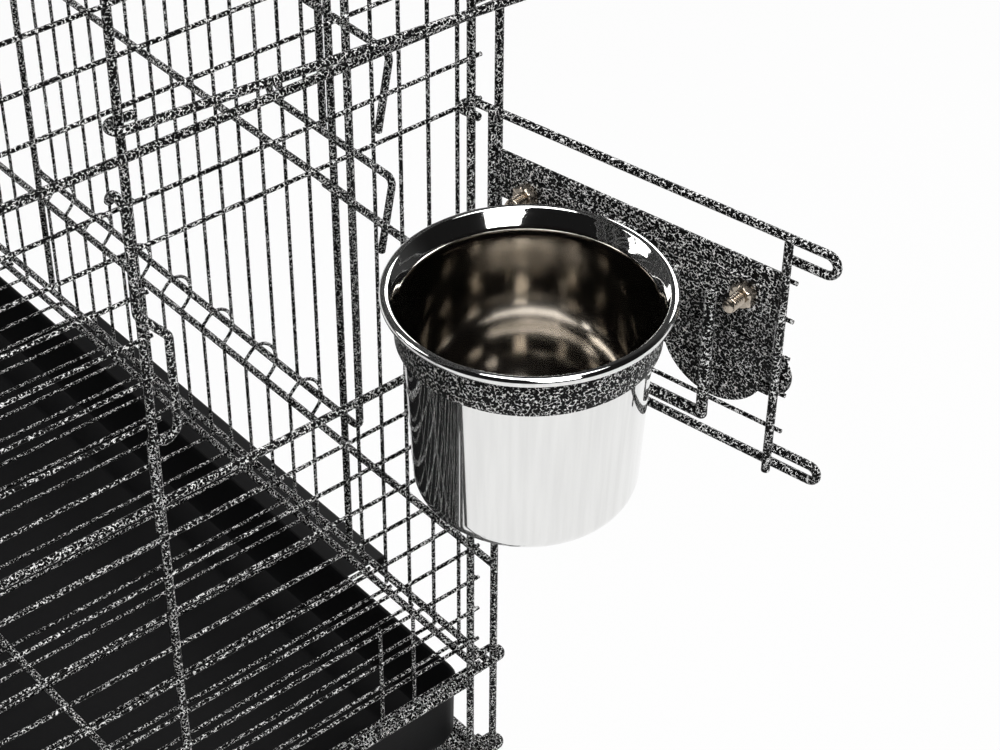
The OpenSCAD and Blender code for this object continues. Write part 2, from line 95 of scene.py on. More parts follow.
# ---------- mesh helpers ----------
def new_piece(name, verts, faces, material, smooth=True):
    mesh = bpy.data.meshes.new(name)
    mesh.from_pydata([tuple(v) for v in verts], [], faces)
    mesh.validate()
    obj = bpy.data.objects.new(name, mesh)
    bpy.context.scene.collection.objects.link(obj)
    mesh.materials.append(material)
    bm = bmesh.new()
    bm.from_mesh(mesh)
    bmesh.ops.recalc_face_normals(bm, faces=bm.faces)
    for f in bm.faces:
        f.smooth = smooth
    bm.to_mesh(mesh)
    bm.free()
    if smooth:
        mesh.set_sharp_from_angle(angle=math.radians(38))
    return obj


def join_parts(parts):
    """One list of (verts, faces) pairs made into one."""
    verts, faces = [], []
    for pv, pf in parts:
        base = len(verts)
        verts += pv
        faces += [tuple(i + base for i in f) for f in pf]
    return verts, faces


def rounded_path(points, radius, steps=7):
    """The polyline with each inner corner turned on an arc."""
    pts = [Vector(p) for p in points]
    out = [pts[0]]
    for a, b, c in zip(pts, pts[1:], pts[2:]):
        u, v = (a - b).normalized(), (c - b).normalized()
        turn = math.pi - u.angle(v)
        if turn < 0.02:
            out.append(b)
            continue
        cut = min(radius * math.tan(turn / 2), (a - b).length * 0.49, (c - b).length * 0.49)
        r = cut / math.tan(turn / 2)
        centre = b + (u + v).normalized() * math.hypot(r, cut)
        start, end = b + u * cut - centre, b + v * cut - centre
        for k in range(steps + 1):
            out.append(centre + start.slerp(end, k / steps).normalized() * r)
    out.append(pts[-1])
    return out


def sweep(points, radius, sides=14):
    """A round rod along a path, with closed, slightly domed ends."""
    pts = [Vector(p) for p in points]
    n = len(pts)
    tangents = []
    for i in range(n):
        a, b = pts[max(i - 1, 0)], pts[min(i + 1, n - 1)]
        tangents.append((b - a).normalized())
    up = Vector((0, 0, 1)) if abs(tangents[0].z) < 0.9 else Vector((1, 0, 0))
    normal = (up - tangents[0] * up.dot(tangents[0])).normalized()
    rings = []
    for i, (p, t) in enumerate(zip(pts, tangents)):
        if i:
            normal = (tangents[i - 1].rotation_difference(t) @ normal)
            normal = (normal - t * normal.dot(t)).normalized()
        side = t.cross(normal)
        rings.append((p, normal.copy(), side, radius, t))
    chamfer = radius * 0.25
    first, last = rings[0], rings[-1]
    stack = [(first[0], first[1], first[2], radius - chamfer)]
    rings[0] = (first[0] + first[4] * chamfer, first[1], first[2], radius, first[4])
    rings[-1] = (last[0] - last[4] * chamfer, last[1], last[2], radius, last[4])
    stack += [(p, a, b, r) for p, a, b, r, _ in rings]
    stack.append((last[0], last[1], last[2], radius - chamfer))
    verts, faces = [], []
    for p, a, b, r in stack:
        for k in range(sides):
            th = 2 * math.pi * k / sides
            verts.append(p + (a * math.cos(th) + b * math.sin(th)) * r)
    for i in range(len(stack) - 1):
        for k in range(sides):
            m = (k + 1) % sides
            faces.append((i * sides + k, i * sides + m, (i + 1) * sides + m, (i + 1) * sides + k))
    faces.append(tuple(range(sides))[::-1])
    faces.append(tuple((len(stack) - 1) * sides + k for k in range(sides)))
    return verts, faces


def arc_points(centre, a, b, radius, start, end, steps=12):
    """Points of an arc in the plane of unit vectors a and b, angles in degrees."""
    c, a, b = Vector(centre), Vector(a), Vector(b)
    out = []
    for k in range(steps + 1):
        th = math.radians(start + (end - start) * k / steps)
        out.append(c + a * (math.cos(th) * radius) + b * (math.sin(th) * radius))
    return out


def lathe(profile, place, steps=96, closed=False):
    """A turned shape from (radius, height) pairs in millimetres; ends on the axis close to a point."""
    verts, faces, rings = [], [], []
    for r, z in profile:
        if r < 1e-6:
            rings.append([len(verts)])
            verts.append(place((0, 0, z)))
        else:
            rings.append(list(range(len(verts), len(verts) + steps)))
            for k in range(steps):
                th = 2 * math.pi * k / steps
                verts.append(place((r * math.cos(th), r * math.sin(th), z)))
    pairs = list(zip(rings, rings[1:]))
    if closed:
        pairs.append((rings[-1], rings[0]))
    for p, q in pairs:
        for k in range(steps):
            m = (k + 1) % steps
            if len(p) == 1:
                faces.append((p[0], q[m], q[k]))
            elif len(q) == 1:
                faces.append((p[k], p[m], q[0]))
            else:
                faces.append((p[k], p[m], q[m], q[k]))
    return verts, faces


def bead_profile(r, z, bead, a0, a1, steps=8):
    return [(r + bead * math.cos(math.radians(a0 + (a1 - a0) * k / steps)),
             z + bead * math.sin(math.radians(a0 + (a1 - a0) * k / steps))) for k in range(steps + 1)]


def rounded_copy(node, name, material, width, segments=2, angle=35):
    """A copy of a CAD node with its loose triangles merged and its edges rounded."""
    src = frame["nodes"][node]
    mesh = src.data.copy()
    mesh.materials.clear()
    mesh.materials.append(material)
    obj = bpy.data.objects.new(name, mesh)
    bpy.context.scene.collection.objects.link(obj)
    bm = bmesh.new()
    bm.from_mesh(mesh)
    for f in bm.faces:
        f.material_index = 0
    bmesh.ops.remove_doubles(bm, verts=bm.verts, dist=2e-6)
    bmesh.ops.dissolve_limit(bm, angle_limit=math.radians(1.0), verts=bm.verts, edges=bm.edges)
    bm.to_mesh(mesh)
    bm.free()
    mod = obj.modifiers.new("Rounded edges", "BEVEL")
    mod.width = width
    mod.segments = segments
    mod.limit_method = "ANGLE"
    mod.angle_limit = math.radians(angle)
    mod.use_clamp_overlap = True
    mod.harden_normals = False
    flat = flatten(obj, name)
    flat.data.shade_smooth()
    flat.data.set_sharp_from_angle(angle=math.radians(32))
    return flat


def flatten(obj, name):
    """The evaluated object as a plain mesh, with its modifiers gone."""
    deps = bpy.context.evaluated_depsgraph_get()
    mesh = bpy.data.meshes.new_from_object(obj.evaluated_get(deps))
    mesh.name = name
    bpy.data.objects.remove(obj)
    out = bpy.data.objects.new(name, mesh)
    bpy.context.scene.collection.objects.link(out)
    return out


def finish_piece(obj, body, slot, *nodes):
    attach(obj, body)
    if nodes:
        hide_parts(*nodes)
    return obj


# ---------- geometry nodes ----------
def beads_tree(bead_mesh, material):
    """A tree that sets one small bead on each point of a mesh, turned and sized a little at random."""
    tree = bpy.data.node_groups.new("Beads on points", "GeometryNodeTree")
    tree.interface.new_socket("Geometry", in_out="INPUT", socket_type="NodeSocketGeometry")
    for label, default in (("Size", 1.0), ("Size spread", 0.2)):
        s = tree.interface.new_socket(label, in_out="INPUT", socket_type="NodeSocketFloat")
        s.default_value = default
    s = tree.interface.new_socket("Seed", in_out="INPUT", socket_type="NodeSocketInt")
    s.default_value = 7
    tree.interface.new_socket("Geometry", in_out="OUTPUT", socket_type="NodeSocketGeometry")
    n, link = tree.nodes, tree.links.new
    gin, gout = n.new("NodeGroupInput"), n.new("NodeGroupOutput")
    to_points = n.new("GeometryNodeMeshToPoints")
    inst = n.new("GeometryNodeInstanceOnPoints")
    info = n.new("GeometryNodeObjectInfo")
    info.inputs["Object"].default_value = bead_mesh
    info.inputs["As Instance"].default_value = False
    rnd = n.new("FunctionNodeRandomValue")
    rnd.data_type = "FLOAT"
    low, high = n.new("ShaderNodeMath"), n.new("ShaderNodeMath")
    low.operation, high.operation = "SUBTRACT", "ADD"
    turn = n.new("FunctionNodeRandomValue")
    turn.data_type = "FLOAT_VECTOR"
    turn.inputs["Max"].default_value = (6.28, 6.28, 6.28)
    real, setm = n.new("GeometryNodeRealizeInstances"), n.new("GeometryNodeSetMaterial")
    setm.inputs["Material"].default_value = material
    link(gin.outputs["Geometry"], to_points.inputs["Mesh"])
    link(to_points.outputs["Points"], inst.inputs["Points"])
    link(info.outputs["Geometry"], inst.inputs["Instance"])
    link(gin.outputs["Size"], low.inputs[0])
    link(gin.outputs["Size spread"], low.inputs[1])
    link(gin.outputs["Size"], high.inputs[0])
    link(gin.outputs["Size spread"], high.inputs[1])
    float_in = [s for s in rnd.inputs if s.type == "VALUE"]
    link(low.outputs[0], float_in[0])
    link(high.outputs[0], float_in[1])
    link(gin.outputs["Seed"], rnd.inputs["Seed"])
    link(gin.outputs["Seed"], turn.inputs["Seed"])
    float_out = [s for s in rnd.outputs if s.type == "VALUE"]
    link(float_out[0], inst.inputs["Scale"])
    link(turn.outputs["Value"], inst.inputs["Rotation"])
    link(inst.outputs["Instances"], real.inputs["Geometry"])
    link(real.outputs["Geometry"], setm.inputs["Geometry"])
    link(setm.outputs["Geometry"], gout.inputs["Geometry"])
    return tree


def row_tree(shape, material):
    """A tree that repeats one shape along a straight line."""
    tree = bpy.data.node_groups.new("Row of pieces", "GeometryNodeTree")
    tree.interface.new_socket("Geometry", in_out="INPUT", socket_type="NodeSocketGeometry")
    s = tree.interface.new_socket("Count", in_out="INPUT", socket_type="NodeSocketInt")
    s.default_value = 7
    s = tree.interface.new_socket("Spacing", in_out="INPUT", socket_type="NodeSocketVector")
    tree.interface.new_socket("Geometry", in_out="OUTPUT", socket_type="NodeSocketGeometry")
    n, link = tree.nodes, tree.links.new
    gin, gout = n.new("NodeGroupInput"), n.new("NodeGroupOutput")
    line = n.new("GeometryNodeMeshLine")
    line.mode = "OFFSET"
    inst, info = n.new("GeometryNodeInstanceOnPoints"), n.new("GeometryNodeObjectInfo")
    info.inputs["Object"].default_value = shape
    real, setm = n.new("GeometryNodeRealizeInstances"), n.new("GeometryNodeSetMaterial")
    setm.inputs["Material"].default_value = material
    link(gin.outputs["Count"], line.inputs["Count"])
    link(gin.outputs["Spacing"], line.inputs["Offset"])
    link(line.outputs["Mesh"], inst.inputs["Points"])
    link(info.outputs["Geometry"], inst.inputs["Instance"])
    link(inst.outputs["Instances"], real.inputs["Geometry"])
    link(real.outputs["Geometry"], setm.inputs["Geometry"])
    link(setm.outputs["Geometry"], gout.inputs["Geometry"])
    return tree


def run_tree(tree, name, base, **inputs):
    mod = base.modifiers.new(tree.name, "NODES")
    mod.node_group = tree
    for item in tree.interface.items_tree:
        if item.item_type == "SOCKET" and item.in_out == "INPUT" and item.name in inputs:
            mod[item.identifier] = inputs[item.name]
    base.update_tag()
    bpy.context.view_layer.update()
    return flatten(base, name)


# ---------- materials ----------
def new_material(name):
    mat = bpy.data.materials.get(name)
    if mat:
        return mat, None
    mat = bpy.data.materials.new(name)
    mat.use_nodes = True
    return mat, mat.node_tree


def silver_vein(name, cell, vein, dark, lift):
    """Black powder coat with a fine network of silver veins."""
    mat, tree = new_material(name)
    if tree is None:
        return mat
    n, link = tree.nodes, tree.links.new
    bsdf = n["Principled BSDF"]
    coord = n.new("ShaderNodeTexCoord")
    warp = n.new("ShaderNodeTexNoise")
    warp.inputs["Scale"].default_value = 620
    warp.inputs["Detail"].default_value = 2
    mix = n.new("ShaderNodeMix")
    mix.data_type = "VECTOR"
    mix.inputs["Factor"].default_value = 0.0016
    vor = n.new("ShaderNodeTexVoronoi")
    vor.feature = "DISTANCE_TO_EDGE"
    vor.inputs["Scale"].default_value = cell
    edge = n.new("ShaderNodeMapRange")
    edge.inputs["From Min"].default_value = vein * 0.65
    edge.inputs["From Max"].default_value = vein
    edge.inputs["To Min"].default_value = 1
    edge.inputs["To Max"].default_value = 0
    patch = n.new("ShaderNodeTexNoise")
    patch.inputs["Scale"].default_value = 780
    patch.inputs["Detail"].default_value = 3
    gate = n.new("ShaderNodeMapRange")
    gate.inputs["From Min"].default_value = 0.47
    gate.inputs["From Max"].default_value = 0.56
    times = n.new("ShaderNodeMath")
    times.operation = "MULTIPLY"
    ramp = n.new("ShaderNodeMix")
    ramp.data_type = "RGBA"
    ramp.inputs[6].default_value = (dark, dark, dark * 1.05, 1)
    ramp.inputs[7].default_value = (lift, lift, lift * 0.99, 1)
    rough = n.new("ShaderNodeMapRange")
    rough.inputs["To Min"].default_value = 0.38
    rough.inputs["To Max"].default_value = 0.5
    bump = n.new("ShaderNodeBump")
    bump.inputs["Strength"].default_value = 0.55
    bump.inputs["Distance"].default_value = 0.00012
    link(coord.outputs["Object"], warp.inputs["Vector"])
    link(coord.outputs["Object"], mix.inputs[4])
    link(warp.outputs["Color"], mix.inputs[5])
    link(mix.outputs[1], vor.inputs["Vector"])
    link(vor.outputs["Distance"], edge.inputs["Value"])
    link(coord.outputs["Object"], patch.inputs["Vector"])
    link(patch.outputs["Fac"], gate.inputs["Value"])
    link(edge.outputs["Result"], times.inputs[0])
    link(gate.outputs["Result"], times.inputs[1])
    link(times.outputs["Value"], ramp.inputs["Factor"])
    link(ramp.outputs[2], bsdf.inputs["Base Color"])
    link(times.outputs["Value"], rough.inputs["Value"])
    link(rough.outputs["Result"], bsdf.inputs["Roughness"])
    link(times.outputs["Value"], bump.inputs["Height"])
    link(bump.outputs["Normal"], bsdf.inputs["Normal"])
    bsdf.inputs["Specular IOR Level"].default_value = 0.1
    return mat


def metal(name, colour, rough_lo, rough_hi, stretch, scale, bump_by):
    """Polished or plated metal with faint streaks; stretch squeezes the noise along one axis."""
    mat, tree = new_material(name)
    if tree is None:
        return mat
    n, link = tree.nodes, tree.links.new
    bsdf = n["Principled BSDF"]
    coord, mapping = n.new("ShaderNodeTexCoord"), n.new("ShaderNodeMapping")
    mapping.inputs["Scale"].default_value = stretch
    noise = n.new("ShaderNodeTexNoise")
    noise.inputs["Scale"].default_value = scale
    noise.inputs["Detail"].default_value = 4
    rough = n.new("ShaderNodeMapRange")
    rough.inputs["To Min"].default_value = rough_lo
    rough.inputs["To Max"].default_value = rough_hi
    tint = n.new("ShaderNodeMix")
    tint.data_type = "RGBA"
    tint.inputs[6].default_value = (*[c * 0.93 for c in colour], 1)
    tint.inputs[7].default_value = (*colour, 1)
    bump = n.new("ShaderNodeBump")
    bump.inputs["Strength"].default_value = bump_by
    bump.inputs["Distance"].default_value = 0.00005
    link(coord.outputs["Object"], mapping.inputs["Vector"])
    link(mapping.outputs["Vector"], noise.inputs["Vector"])
    link(noise.outputs["Fac"], rough.inputs["Value"])
    link(rough.outputs["Result"], bsdf.inputs["Roughness"])
    link(noise.outputs["Fac"], tint.inputs["Factor"])
    link(tint.outputs[2], bsdf.inputs["Base Color"])
    link(noise.outputs["Fac"], bump.inputs["Height"])
    link(bump.outputs["Normal"], bsdf.inputs["Normal"])
    bsdf.inputs["Metallic"].default_value = 1.0
    return mat


def stainless(name):
    """Polished steel outside; duller drawn steel inside, its colour painted darker and browner there as a painted
    dark reflection; faint vertical streaks.
    """
    mat, tree = new_material(name)
    if tree is None:
        return mat
    n, link = tree.nodes, tree.links.new
    bsdf = n["Principled BSDF"]
    inside = n.new("ShaderNodeAttribute")
    inside.attribute_name = "inner"
    coord, mapping = n.new("ShaderNodeTexCoord"), n.new("ShaderNodeMapping")
    noise = n.new("ShaderNodeTexNoise")
    mapping.inputs["Scale"].default_value = (1, 1, 0.04)
    noise.inputs["Scale"].default_value = 260
    noise.inputs["Detail"].default_value = 5
    colour, streak, rough = n.new("ShaderNodeMix"), n.new("ShaderNodeMapRange"), n.new("ShaderNodeMapRange")
    colour.data_type = "RGBA"
    colour.inputs[6].default_value = (0.82, 0.82, 0.81, 1)
    # inside colour: darker and browner than the outside, a painted dark reflection
    colour.inputs[7].default_value = (0.47, 0.445, 0.41, 1)
    rough.inputs["To Min"].default_value = 0.05
    rough.inputs["To Max"].default_value = 0.09
    streak.inputs["From Min"].default_value = 0.35
    streak.inputs["From Max"].default_value = 0.65
    streak.inputs["To Min"].default_value = 0.93
    streak.inputs["To Max"].default_value = 1.0
    times = n.new("ShaderNodeVectorMath")
    times.operation = "SCALE"
    bump = n.new("ShaderNodeBump")
    bump.inputs["Strength"].default_value = 0.05
    bump.inputs["Distance"].default_value = 0.00005
    link(coord.outputs["Object"], mapping.inputs["Vector"])
    link(mapping.outputs["Vector"], noise.inputs["Vector"])
    link(inside.outputs["Fac"], colour.inputs["Factor"])
    link(noise.outputs["Fac"], streak.inputs["Value"])
    link(colour.outputs[2], times.inputs[0])
    link(streak.outputs["Result"], times.inputs["Scale"])
    link(times.outputs["Vector"], bsdf.inputs["Base Color"])
    link(inside.outputs["Fac"], rough.inputs["Value"])
    link(rough.outputs["Result"], bsdf.inputs["Roughness"])
    link(noise.outputs["Fac"], bump.inputs["Height"])
    link(bump.outputs["Normal"], bsdf.inputs["Normal"])
    bsdf.inputs["Metallic"].default_value = 1.0
    return mat


def matte(name, colour, rough, scale, bump_by, spread=0.25):
    """Matte paint, plastic or rubber with a fine grain."""
    mat, tree = new_material(name)
    if tree is None:
        return mat
    n, link = tree.nodes, tree.links.new
    bsdf = n["Principled BSDF"]
    coord, noise = n.new("ShaderNodeTexCoord"), n.new("ShaderNodeTexNoise")
    noise.inputs["Scale"].default_value = scale
    noise.inputs["Detail"].default_value = 4
    tint = n.new("ShaderNodeMix")
    tint.data_type = "RGBA"
    tint.inputs[6].default_value = (*[c * (1 - spread) for c in colour], 1)
    tint.inputs[7].default_value = (*[c * (1 + spread) for c in colour], 1)
    bump = n.new("ShaderNodeBump")
    bump.inputs["Strength"].default_value = bump_by
    bump.inputs["Distance"].default_value = 0.0002
    link(coord.outputs["Object"], noise.inputs["Vector"])
    link(noise.outputs["Fac"], tint.inputs["Factor"])
    link(tint.outputs[2], bsdf.inputs["Base Color"])
    link(noise.outputs["Fac"], bump.inputs["Height"])
    link(bump.outputs["Normal"], bsdf.inputs["Normal"])
    bsdf.inputs["Roughness"].default_value = rough
    bsdf.inputs["Specular IOR Level"].default_value = 0.2
    return mat


def finish_of(slot):
    s = bpy.context.scene.cage_finish
    if slot == "hammertone":
        return silver_vein("Black silver vein", s.vein_scale, s.vein_width, s.coat_dark, s.vein_bright)
    if slot == "stainless":
        return stainless("Polished stainless")
    if slot == "nickel":
        return metal("Nickel plate", (0.50, 0.44, 0.37), 0.16, 0.28, (1, 1, 1), 900, 0.2)
    if slot == "tray_black":
        return matte("Tray black", (0.003, 0.003, 0.0034), 0.62, 700, 0.25)
    if slot == "caster_metal":
        return metal("Zinc plate", (0.56, 0.57, 0.58), 0.28, 0.42, (1, 1, 1), 500, 0.15)
    if slot == "wheel_rubber":
        return matte("Wheel rubber", (0.03, 0.03, 0.03), 0.6, 900, 0.3)
    raise RuntimeError(f"no finish for slot {slot}")


# ---------- properties ----------
class CageFinishProps(bpy.types.PropertyGroup):
    vein_scale: bpy.props.FloatProperty(name="Vein scale",
        description="Vein cells per metre",
        default=640, min=100, max=2000)
    vein_width: bpy.props.FloatProperty(name="Vein width",
        description="Width of a vein, as a part of its cell",
        default=0.095, min=0.03, max=0.5)
    coat_dark: bpy.props.FloatProperty(name="Coat colour",
        description="Lightness of the black coat",
        default=0.0015, min=0, max=0.2)
    vein_bright: bpy.props.FloatProperty(name="Vein colour",
        description="Lightness of the silver veins",
        default=0.95, min=0, max=1)


class CagePieceProps(bpy.types.PropertyGroup):
    rod: bpy.props.FloatProperty(name="Thick rod",
        description="Diameter of the thick rods",
        default=0.0038, unit="LENGTH", min=0.003, max=0.006)
    wire: bpy.props.FloatProperty(name="Thin wire",
        description="Diameter of the thin wires",
        default=0.0019, unit="LENGTH", min=0.001, max=0.003)
    edge: bpy.props.FloatProperty(name="Edge rounding",
        description="Rounding of plate and tube edges",
        default=0.0005, unit="LENGTH", min=0.0001, max=0.002)
    thread_pitch: bpy.props.FloatProperty(name="Thread pitch",
        description="Pitch of the bolts' thread",
        default=0.00127, unit="LENGTH", min=0.0005, max=0.002)
    bead: bpy.props.FloatProperty(name="Weld size",
        description="Radius of a weld nugget",
        default=0.0012, unit="LENGTH", min=0.0005, max=0.002)


# ---------- operators ----------
class CAGE_OT_finishes(bpy.types.Operator):
    """Gives every CAD node its procedural finish"""
    bl_idname = "cage.finishes"
    bl_label = "Finishes"

    def execute(self, context):
        slots = {s["node"]: s["material_slot"] for s in frame["record"]["subparts"]}
        for name, obj in frame["nodes"].items():
            mat = finish_of(slots[name])
            obj.data.materials.clear()
            obj.data.materials.append(mat)
        return {"FINISHED"}


def bowl_profile():
    """Outer wall, rolled rim, inner wall and stepped floor, from the outside bottom to the inside bottom."""
    top, low = RIM_Z, BOWL_LOW
    r0, r1, c = 46.5, 50.5, 11.0
    out = [(0, low + 1.2), (24, low + 1.2), (28, low + 0.3), (r0 - c - 1, low)]
    out += [(r0 - c + c * math.sin(math.radians(a)), low + c - c * math.cos(math.radians(a)))
            for a in range(10, 91, 10)]
    out += [(r1 - 0.3, top - 12), (r1, top - 7.6), (r1 + 0.5, top - 6.6)]
    out += [(52.6, top - 4.6), (53.8, top - 3.3)]
    out += bead_profile(56.3, top - 2.2, 2.15, 205, 515, 22)
    out += [(53.5, top - 2.1), (52.2, top - 3.9), (51.0, top - 5.6)]
    out += [(50.1, top - 7.0), (49.7, top - 8.6), (49.4, top - 12)]
    out += [(45.9, low + c + 3)]
    ci = c - 0.8
    out += [(45.7 - ci + ci * math.sin(math.radians(a)), low + 0.8 + ci - ci * math.cos(math.radians(a)))
            for a in range(90, 9, -10)]
    out += [(33, low + 1.1), (30, low + 1.2), (28.5, low + 2.0), (0, low + 2.2)]
    return out


def inner_share(profile, steps):
    """1 for each vertex on the inside of the bowl, 0 on its outside and rim."""
    crown = max(range(len(profile)), key=lambda i: profile[i][1])
    share = []
    for i, (r, _) in enumerate(profile):
        value = 1.0 if i > crown and r < 51.0 else 0.0
        share += [value] * (1 if r < 1e-6 else steps)
    return share


class CAGE_OT_bowls(bpy.types.Operator):
    """Turns the two steel bowls with rolled rims"""
    bl_idname = "cage.bowls"
    bl_label = "Bowls"

    def execute(self, context):
        for side in SIDES:
            place = lambda p, side=side: at_feeder(side, (BOWL_AT[0] + p[0], BOWL_AT[1] + p[1], p[2]))
            profile = bowl_profile()
            verts, faces = lathe(profile, place, BOWL_STEPS)
            obj = new_piece(f"{side}_bowl_turned", verts, faces, finish_of("stainless"))
            # the inside share makes the steel rougher there and paints its colour darker, a painted dark
            # reflection
            inner = obj.data.attributes.new("inner", "FLOAT", "POINT")
            inner.data.foreach_set("value", inner_share(profile, BOWL_STEPS))
            finish_piece(obj, f"{side}_bowl", "stainless", f"{side}_bowl")
        return {"FINISHED"}


def hex_radius(angle, flats):
    a = (angle + math.pi / 6) % (math.pi / 3) - math.pi / 6
    return flats / 2 / math.cos(a)


def hex_body(x0, x1, flats, bore, place, chamfer=0.55, steps=72):
    """A hexagon with turned-down corners on both faces."""
    levels = [(x0, bore, False), (x0, flats / 2 - 0.25, False), (x0 + chamfer, None, True),
              (x1 - chamfer, None, True), (x1, flats / 2 - 0.25, False), (x1, bore, False)]
    verts, faces = [], []
    for x, r, full in levels:
        for k in range(steps):
            th = 2 * math.pi * k / steps
            rad = hex_radius(th, flats) if full else min(r, hex_radius(th, flats))
            verts.append(place((x, rad * math.cos(th), rad * math.sin(th))))
    count = len(levels)
    for i in range(count):
        j = (i + 1) % count
        if j == 0 and bore <= 0.01:  # the head has no bore to line
            continue
        for k in range(steps):
            m = (k + 1) % steps
            faces.append((i * steps + k, i * steps + m, j * steps + m, j * steps + k))
    return verts, faces


def threaded(x0, x1, major, pitch, place, steps=32, per_turn=10, tip=2.0):
    """A screw thread that follows one turn per pitch, with a plain chamfered tip."""
    rows = int((x1 - x0 - tip) / pitch * per_turn)
    verts, faces = [], []
    for i in range(rows + 1):
        ends = min(1, (rows - i) / per_turn, i / per_turn)
        for k in range(steps):
            phase = (i / per_turn - k / steps) % 1.0
            depth = 0.62 * pitch * min(1, max(0, 1.35 * (1 - abs(2 * phase - 1)) - 0.2)) * ends
            th = 2 * math.pi * k / steps
            r = major / 2 - depth
            verts.append(place((x0 + (x1 - x0 - tip) * i / rows, r * math.cos(th), r * math.sin(th))))
    for share, dx in ((0.86, 0.25), (0.86, tip - 0.45), (0.66, tip)):
        for k in range(steps):
            th = 2 * math.pi * k / steps
            r = major / 2 * share
            verts.append(place((x1 - tip + dx, r * math.cos(th), r * math.sin(th))))
    total = rows + 4
    for i in range(total - 1):
        for k in range(steps):
            m = (k + 1) % steps
            faces.append((i * steps + k, i * steps + m, (i + 1) * steps + m, (i + 1) * steps + k))
    faces.append(tuple(range(steps))[::-1])
    faces.append(tuple((total - 1) * steps + k for k in range(steps)))
    return verts, faces


class CAGE_OT_bolts(bpy.types.Operator):
    """Bolts with cut threads and chamfered hexagon nuts"""
    bl_idname = "cage.bolts"
    bl_label = "Bolts"

    def execute(self, context):
        pitch = context.scene.cage_pieces.thread_pitch / MM
        for side in SIDES:
            parts = []
            for w in BOLTS_W:
                place = lambda p, w=w, side=side: at_feeder(side, (p[0], w + p[1], BOLT_Z + p[2]))
                parts.append(hex_body(-9.55, -5.55, 8.6, 0.0, place))
                parts.append(threaded(-6.0, 14.8, 5.9, pitch, place))
                parts.append(hex_body(1.0, 6.0, 10.0, 2.7, place))
            verts, faces = join_parts(parts)
            obj = new_piece(f"{side}_feeder_bolts_cut", verts, faces, finish_of("nickel"))
            finish_piece(obj, f"{side}_feeder_door", "nickel", f"{side}_feeder_bolts")
        return {"FINISHED"}


class CAGE_OT_plates(bpy.types.Operator):
    """Feeder plates and ring brackets with pressed, rounded edges"""
    bl_idname = "cage.plates"
    bl_label = "Plates"

    def execute(self, context):
        edge = context.scene.cage_pieces.edge
        coat = finish_of("hammertone")
        for side in SIDES:
            for node in ("strip", "back_plate", "bracket"):
                full = f"{side}_feeder_{node}"
                obj = rounded_copy(full, full + "_pressed", coat, edge)
                finish_piece(obj, f"{side}_feeder_door", "hammertone", full)
        return {"FINISHED"}


class CAGE_OT_feeder_frames(bpy.types.Operator):
    """Feeder door frames bent from one rod diameter, with looped ends"""
    bl_idname = "cage.feeder_frames"
    bl_label = "Feeder frames"

    def execute(self, context):
        r = context.scene.cage_pieces.rod / 2
        coat = finish_of("hammertone")
        for side in SIDES:
            parts = []
            for z, other, out in ((219.5, 227.0, 181.0), (331.4, 322.0, 179.0)):
                half = abs(other - z) / 2
                turn = out - half - 1.9
                mid = (z + other) / 2
                path = [(4.1, 8, z), (4.1, 0.5, z)]
                path += [tuple(p) for p in arc_points((0, 0, z), (1, 0, 0), (0, 1, 0), 4.1, 0, -180)]
                path += [(-4.1, turn - 2, z)]
                steps = 12
                for k in range(steps + 1):
                    th = math.pi * k / steps
                    path.append((-4.1, turn + half * math.sin(th), mid + (z - mid) * math.cos(th)))
                path += [(-4.1, 156.0, other)]
                parts.append(sweep([at_feeder(side, p) for p in path], r))
            for w in (11, 157):
                ends = [at_feeder(side, (-0.55, w, z)) for z in (216.5, 333.4)]
                parts.append(sweep(ends, r))
            verts, faces = join_parts(parts)
            obj = new_piece(f"{side}_feeder_frame_bent", verts, faces, coat)
            finish_piece(obj, f"{side}_feeder_door", "hammertone", f"{side}_feeder_frame")
        return {"FINISHED"}


class CAGE_OT_catches(bpy.types.Operator):
    """Hanging catches and swing bars, bent smoothly"""
    bl_idname = "cage.catches"
    bl_label = "Catches"

    def execute(self, context):
        r = context.scene.cage_pieces.rod / 2
        coat = finish_of("hammertone")
        v1 = POST_GAP + OPENING
        z, x, v = 17 * ROW, -8.6, v1 + 6
        for side in SIDES:
            curl = [tuple(p) for p in arc_points((-3.0, v, z), (1, 0, 0), (0, 0, 1), 5.6, 0, 180)]
            hang = [(x, v, z - 46), (x, v1 - 7, z - 62), (x, v1 - 7, z - 108),
                    (x, v1, z - 113.5), (x, v, z - 104), (x, v, z - 158)]
            path = curl + rounded_path([(x, v, z - 6)] + hang, 4.5)
            verts, faces = sweep([at_side(side, p) for p in path], r)
            obj = new_piece(f"{side}_catch_bent", verts, faces, coat)
            finish_piece(obj, f"{side}_catch", "hammertone", f"{side}_catch")
        return {"FINISHED"}


